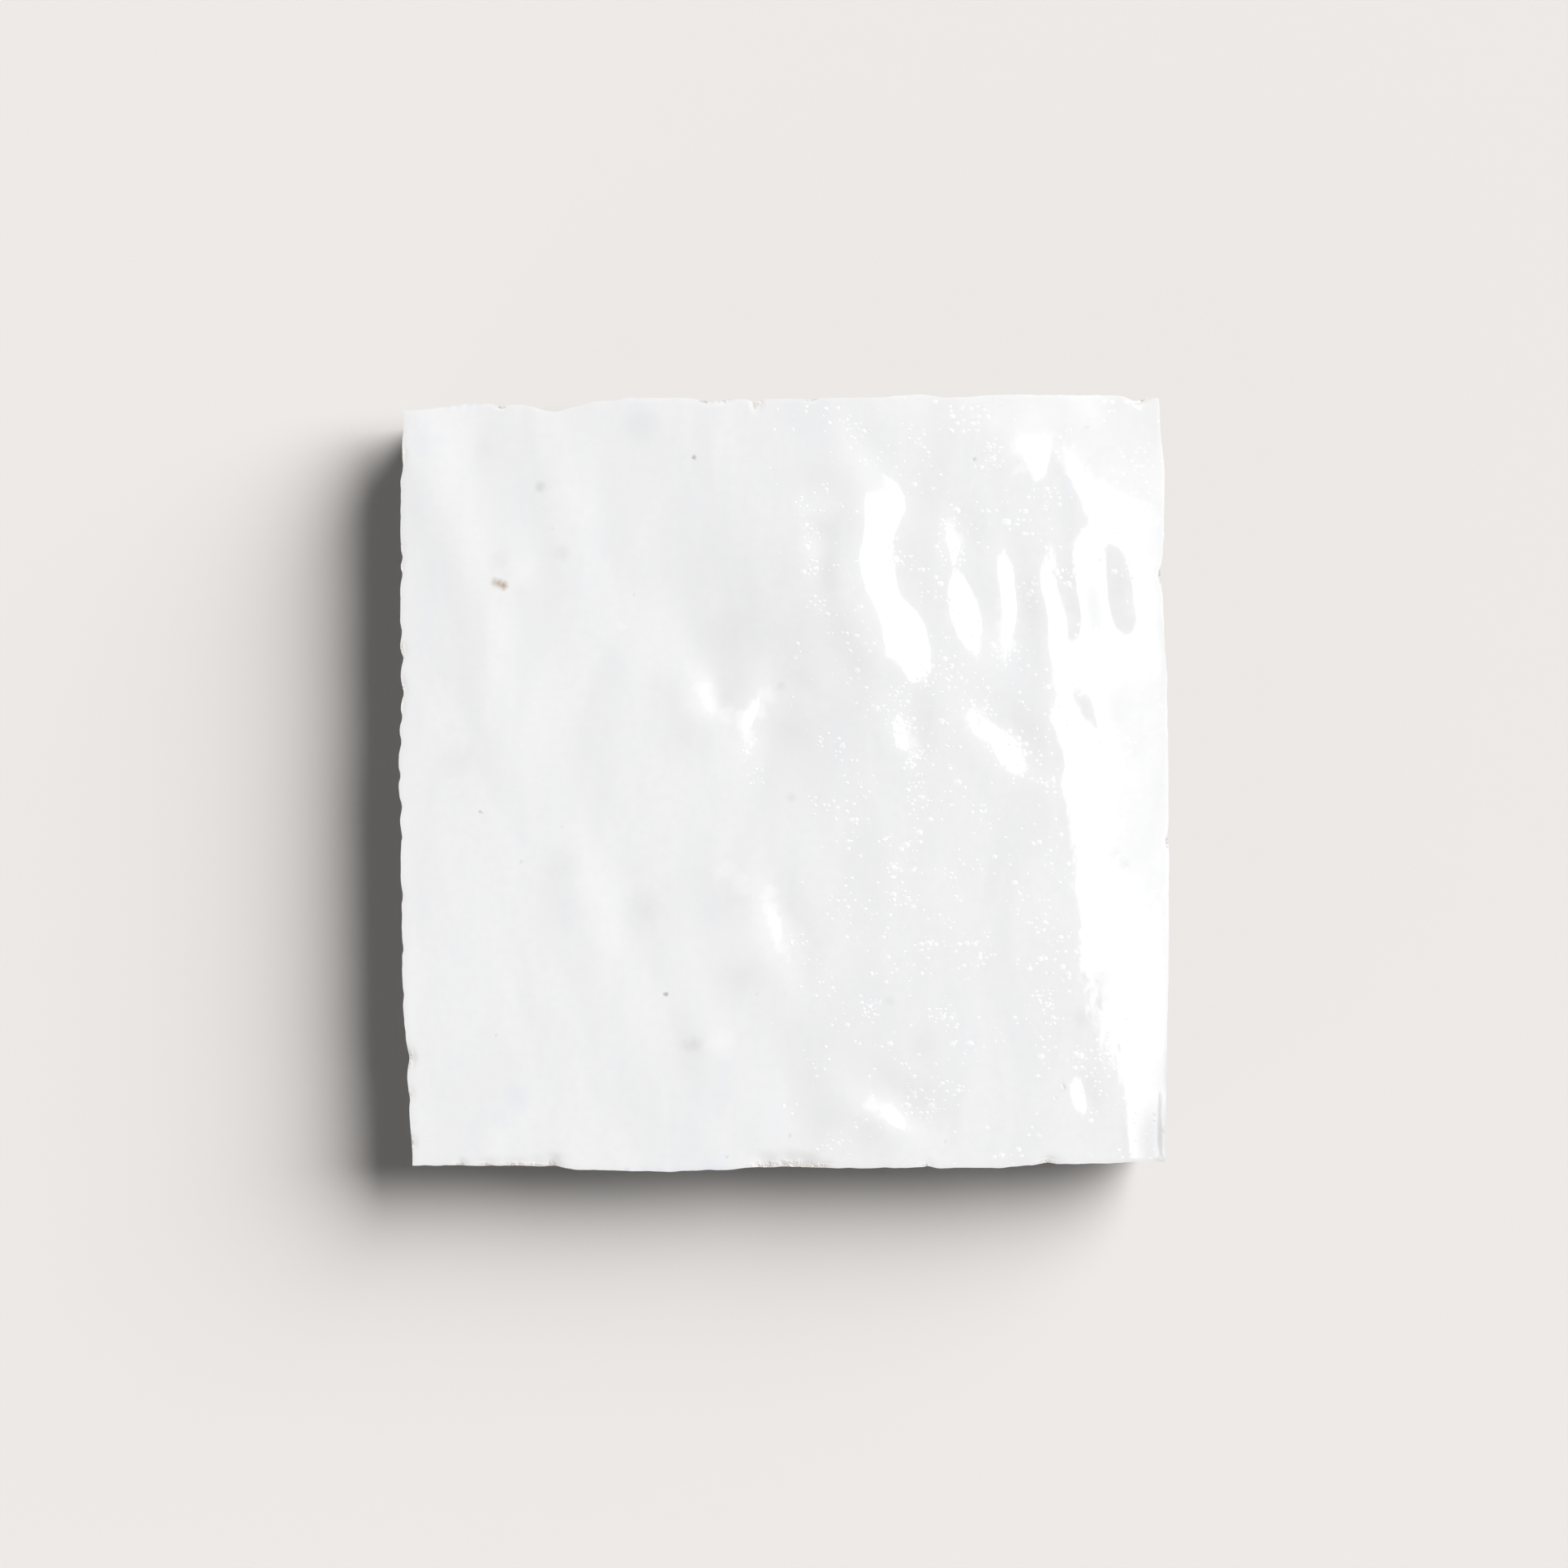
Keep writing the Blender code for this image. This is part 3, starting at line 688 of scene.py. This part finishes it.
def standingDroplets(tree, facePlace, speckPlace):
    # (height, mask) of the droplets standing on the glaze, and its faint ripple under them
    axes = addNode(tree, "ShaderNodeSeparateXYZ")
    tree.links.new(facePlace, axes.inputs[0])
    scattered = ramp(tree, axes.outputs[0], *dropletLooks["startX"], 0.0, dropletLooks["fewest"])
    patches = ramp(tree, noiseNode(tree, facePlace, 0.16, 2.0), 0.42, 0.66)
    scattered = mathNode(tree, "MULTIPLY", scattered, patches)
    crowd = mathNode(tree, "MAXIMUM", spotField(tree, speckPlace, dropletCrowds), scattered)
    rise = ramp(tree, axes.outputs[0], *dropletLooks["riseX"], *dropletLooks["rises"])
    height = mathNode(tree, "MULTIPLY", noiseNode(tree, facePlace, 0.5), glazeLooks["ripple"])
    mask = None
    for scale, radius, share in dropletLooks["layers"]:
        droplets = addNode(tree, "ShaderNodeGroup", node_tree=dropletGroup)
        tree.links.new(facePlace, droplets.inputs["Vector"])
        droplets.inputs["Scale"].default_value = scale
        droplets.inputs["Radius"].default_value = radius
        tree.links.new(mathNode(tree, "MULTIPLY", crowd, share), droplets.inputs["Crowd"])
        tree.links.new(rise, droplets.inputs["Rise"])
        height = mathNode(tree, "ADD", height, droplets.outputs["Height"])
        here = droplets.outputs["Mask"]
        mask = here if mask is None else mathNode(tree, "MAXIMUM", mask, here)
    return height, mask


def glazeColour(tree, facePlace, speckPlace, dropletMask, darks):
    # drawn-out clouds that lean from upper left to lower right, then tints, painted highlights, stains with
    # some painted shade, and specks
    turn = addNode(tree, "ShaderNodeMapping")
    tree.links.new(facePlace, turn.inputs["Vector"])
    turn.inputs["Rotation"].default_value = (0, 0, math.radians(glazeLooks["cloudLean"]))
    turn.inputs["Scale"].default_value = (1, 0.34, 1)
    clouds = ramp(tree, noiseNode(tree, turn.outputs[0], 0.12, 3.0, 0.5, 0.6), 0.36, 0.66)
    fine = ramp(tree, noiseNode(tree, facePlace, 0.75, 4.0, 0.6), 0.62, 0.34, 0.0, 0.2)
    tints = noiseNode(tree, turn.outputs[0], 0.21, 3.0, 0.55, 0.8)
    tints = ramp(tree, tints, 0.4, 0.8, 0.0, glazeLooks["tintShare"])
    highlightPlace = strayPlace(tree, facePlace, *glazeLooks["highlightStray"])
    # painted highlights: the listed dabs, and a whiter glint painted over every droplet
    paintedHighlights = mathNode(tree, "MAXIMUM", spotField(tree, highlightPlace, paintedHighlightDabs, glazeLooks["highlightCore"]),
                     mathNode(tree, "MULTIPLY", dropletMask, dropletLooks["dropletGlintPaint"]))
    colour = mixColour(tree, clouds, glazeLooks["shade"], glazeLooks["light"])
    for factor, over in (
        (glazeLooks["whiteShare"], "white"),
        (fine, "shade"),
        (tints, "blue"),
        (spotField(tree, facePlace, blueTints), "blue"),
        # painted light and highlights in whiter glaze, then stains with some painted shade
        (spotField(tree, highlightPlace, paintedLightSpots), "clear"),
        (paintedHighlights, "clear"),
        (spotField(tree, speckPlace, stainsAndPaintedShade), "stainAndShadeGrey"),
        (spotField(tree, speckPlace, rustySpecks), "rust"),
        (darks, "speck"),
    ):
        colour = mixColour(tree, factor, colour, glazeLooks[over])
    return colour


def clayColour(tree, solidPlace):
    tone = ramp(tree, noiseNode(tree, solidPlace, 0.16, 3.0), 0.35, 0.65)
    grog = ramp(tree, noiseNode(tree, solidPlace, 1.6, 5.0, 0.62), 0.46, 0.30, 0.0, 0.8)
    clay = mixColour(tree, tone, clayLooks["buff"], clayLooks["pale"])
    return mixColour(tree, grog, clay, clayLooks["dark"])


def makeTileMaterial():
    material = bpy.data.materials.new("whiteGlazeOnClay")
    material.use_nodes = True
    tree = material.node_tree
    shader = tree.nodes["Principled BSDF"]
    place = addNode(tree, "ShaderNodeTexCoord")
    inMm = addNode(tree, "ShaderNodeVectorMath", operation="SCALE")
    inMm.inputs["Scale"].default_value = 1 / mm
    tree.links.new(place.outputs["Object"], inMm.inputs[0])
    flat = addNode(tree, "ShaderNodeVectorMath", operation="MULTIPLY")  # seen square on
    tree.links.new(inMm.outputs[0], flat.inputs[0])
    flat.inputs[1].default_value = (1, 1, 0)
    solidPlace, facePlace = inMm.outputs[0], flat.outputs[0]
    speckPlace = strayPlace(tree, facePlace, *glazeLooks["speckStray"])

    # where glaze covers clay, and where it ran thin over a chip
    reach = addNode(tree, "ShaderNodeAttribute", attribute_name="glazeReach")
    ragged = noiseNode(tree, solidPlace, 1.4, 4.0, 0.6)
    raggedReach = mathNode(tree, "ADD", reach.outputs["Fac"],
                           mathNode(tree, "MULTIPLY_ADD", ragged, 0.9, -0.45))
    covered = ramp(tree, raggedReach, -0.08, 0.12)
    bare = addNode(tree, "ShaderNodeAttribute", attribute_name="bareClay")
    thin = mathNode(tree, "MULTIPLY", bare.outputs["Fac"], ramp(tree, ragged, 0.36, 0.6, 0.25, 1.0))

    darks = spotField(tree, speckPlace, darkSpecks, glazeLooks["speckCore"])
    glazeBump, dropletMask = standingDroplets(tree, facePlace, speckPlace)
    glaze = glazeColour(tree, facePlace, speckPlace, dropletMask, darks)
    glaze = mixColour(tree, mathNode(tree, "MULTIPLY", thin, 0.7), glaze, clayLooks["pale"])
    clay = clayColour(tree, solidPlace)
    tree.links.new(mixColour(tree, covered, clay, glaze), shader.inputs["Base Color"])

    gloss = ramp(tree, covered, 0.0, 1.0, clayLooks["roughness"], glazeLooks["roughness"])
    tree.links.new(gloss, shader.inputs["Roughness"])
    shader.inputs["IOR"].default_value = glazeLooks["ior"]

    # relief too fine for the mesh: droplets, ripples and pinholes in the glaze, grains in the clay
    glazeBump = mathNode(tree, "MULTIPLY_ADD", darks, -glazeLooks["pinhole"], glazeBump)
    chipBump = mathNode(tree, "MULTIPLY", ragged, glazeLooks["chipGrain"])
    glazeBump = mathNode(tree, "ADD", glazeBump, mathNode(tree, "MULTIPLY", thin, chipBump))
    clayBump = mathNode(tree, "MULTIPLY", noiseNode(tree, solidPlace, 2.2, 6.0, 0.7), clayLooks["grain"])
    bumpMix = addNode(tree, "ShaderNodeMix", data_type="FLOAT")
    tree.links.new(covered, bumpMix.inputs[0])
    tree.links.new(clayBump, bumpMix.inputs[2])
    tree.links.new(glazeBump, bumpMix.inputs[3])
    bump = addNode(tree, "ShaderNodeBump")
    bump.inputs["Distance"].default_value = mm
    tree.links.new(bumpMix.outputs[0], bump.inputs["Height"])
    tree.links.new(bump.outputs[0], shader.inputs["Normal"])
    return material


glazedTile.data.materials.append(makeTileMaterial())
glazedTile.visible_diffuse = False  # its clay throws no colour on the floor
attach(glazedTile, "root")
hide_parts("zellige_tile")
print("glaze and clay made")

# Studio: pale floor, a big soft key from the upper right, a weak low fill facing it, a dim dome, and a
# window above and to the right that the glaze mirrors
studio = {
    "floorColour": (0.855, 0.823, 0.799, 1.0),
    "floorSize": 12.0,
    "floorDrop": 0.02 * mm,  # keeps the floor clear of the back
    "keyTurn": 33.0,  # degrees from +X towards +Y
    "keyRise": 32.0,
    "keySpread": 54.0,  # degrees across
    "keyStrength": 5.33,
    "fillTurn": 225.0,
    "fillRise": 6.0,
    "fillSpread": 40.0,
    "fillStrength": 0.75,
    "windowX": (0.110, 0.420),
    "windowY": (-0.170, 0.155),
    "windowHeight": 1.0,
    "windowStrength": 3.9,
    "windowFadeX": (0.118, 0.250),  # full up to the first of these
    "windowLeft": 0.1,  # share that is left from the second on
    "windowFadeY": (-0.090, -0.170),
    "windowTop": (0.125, 0.155),
    "domeStrength": 0.07,
    "backdropStrength": 0.9,  # the dome as the camera sees it
    "domeColour": (1.0, 0.985, 0.975, 1.0),
}


def makeFloor():
    bpy.ops.mesh.primitive_plane_add(size=studio["floorSize"], location=(0, 0, -studio["floorDrop"]))
    floor = bpy.context.object
    floor.name = "studioFloor"
    material = bpy.data.materials.new("paleFloor")
    material.use_nodes = True
    shader = material.node_tree.nodes["Principled BSDF"]
    shader.inputs["Base Color"].default_value = studio["floorColour"]
    shader.inputs["Roughness"].default_value = 1.0
    shader.inputs["Specular IOR Level"].default_value = 0.0
    floor.data.materials.append(material)


def makeWindow():
    # a glowing sheet that only the glaze mirrors; it fades towards +X and -Y
    (x0, x1), (y0, y1) = studio["windowX"], studio["windowY"]
    sheet = bmesh.new()
    corners = [sheet.verts.new((x, y, 0)) for x, y in ((x0, y0), (x0, y1), (x1, y1), (x1, y0))]
    sheet.faces.new(corners)  # faces down
    mesh = bpy.data.meshes.new("mirroredWindow")
    sheet.to_mesh(mesh)
    sheet.free()
    window = bpy.data.objects.new("mirroredWindow", mesh)
    window.location.z = studio["windowHeight"] + tileHigh.z
    window.visible_diffuse = False
    window.visible_camera = False
    window.visible_shadow = False
    bpy.context.scene.collection.objects.link(window)
    material = bpy.data.materials.new("windowGlow")
    material.use_nodes = True
    tree = material.node_tree
    tree.nodes.clear()
    place = addNode(tree, "ShaderNodeTexCoord")
    axes = addNode(tree, "ShaderNodeSeparateXYZ")
    tree.links.new(place.outputs["Object"], axes.inputs[0])
    fadeX = ramp(tree, axes.outputs[0], *studio["windowFadeX"], 1.0, studio["windowLeft"])
    fadeY = ramp(tree, axes.outputs[1], *studio["windowFadeY"], 1.0, 0.0)
    fadeTop = ramp(tree, axes.outputs[1], *studio["windowTop"], studio["windowStrength"], 0.0)
    glow = addNode(tree, "ShaderNodeEmission")
    strength = mathNode(tree, "MULTIPLY", mathNode(tree, "MULTIPLY", fadeX, fadeY), fadeTop)
    tree.links.new(strength, glow.inputs["Strength"])
    result = addNode(tree, "ShaderNodeOutputMaterial")
    tree.links.new(glow.outputs[0], result.inputs["Surface"])
    mesh.materials.append(material)


def addFarLight(name, turn, rise, spread, strength):
    # a broad soft light so far off that it lights the floor evenly
    light = bpy.data.lights.new(name, "SUN")
    light.angle = math.radians(spread)
    light.energy = strength
    lamp = bpy.data.objects.new(name, light)
    turn, rise = math.radians(turn), math.radians(rise)
    towards = Vector((math.cos(rise) * math.cos(turn), math.cos(rise) * math.sin(turn), math.sin(rise)))
    lamp.location = towards
    lamp.rotation_euler = towards.to_track_quat("Z", "Y").to_euler()
    bpy.context.scene.collection.objects.link(lamp)


def makeLights():
    for name in ("key", "fill"):
        addFarLight(name + "Light", studio[name + "Turn"], studio[name + "Rise"],
                    studio[name + "Spread"], studio[name + "Strength"])
    makeWindow()


def makeWorld():
    world = bpy.data.worlds.new("studioDome")
    bpy.context.scene.world = world
    world.use_nodes = True
    tree = world.node_tree
    background = tree.nodes["Background"]
    rays = addNode(tree, "ShaderNodeLightPath")
    strength = addNode(tree, "ShaderNodeMix", data_type="FLOAT")
    tree.links.new(rays.outputs["Is Camera Ray"], strength.inputs[0])
    strength.inputs[2].default_value = studio["domeStrength"]
    strength.inputs[3].default_value = studio["backdropStrength"]
    tree.links.new(strength.outputs[0], background.inputs["Strength"])
    background.inputs["Color"].default_value = studio["domeColour"]


# Camera: straight above, where the whole picture takes in this width of the face's plane
overhead = {
    "height": 1.0,
    "width": 203.4 * mm,
    "middleY": -0.1 * mm,
    "sensor": 36.0,
}


def makeCamera():
    camera = bpy.data.cameras.new("overhead")
    camera.sensor_width = overhead["sensor"]
    camera.lens = overhead["sensor"] * overhead["height"] / overhead["width"]
    eye = bpy.data.objects.new("overhead", camera)
    eye.location = (0, overhead["middleY"], overhead["height"] + tileHigh.z)
    bpy.context.scene.collection.objects.link(eye)
    bpy.context.scene.camera = eye


makeFloor()
makeLights()
makeWorld()
makeCamera()
bpy.context.scene.view_settings.view_transform = "Standard"
print("studio made")
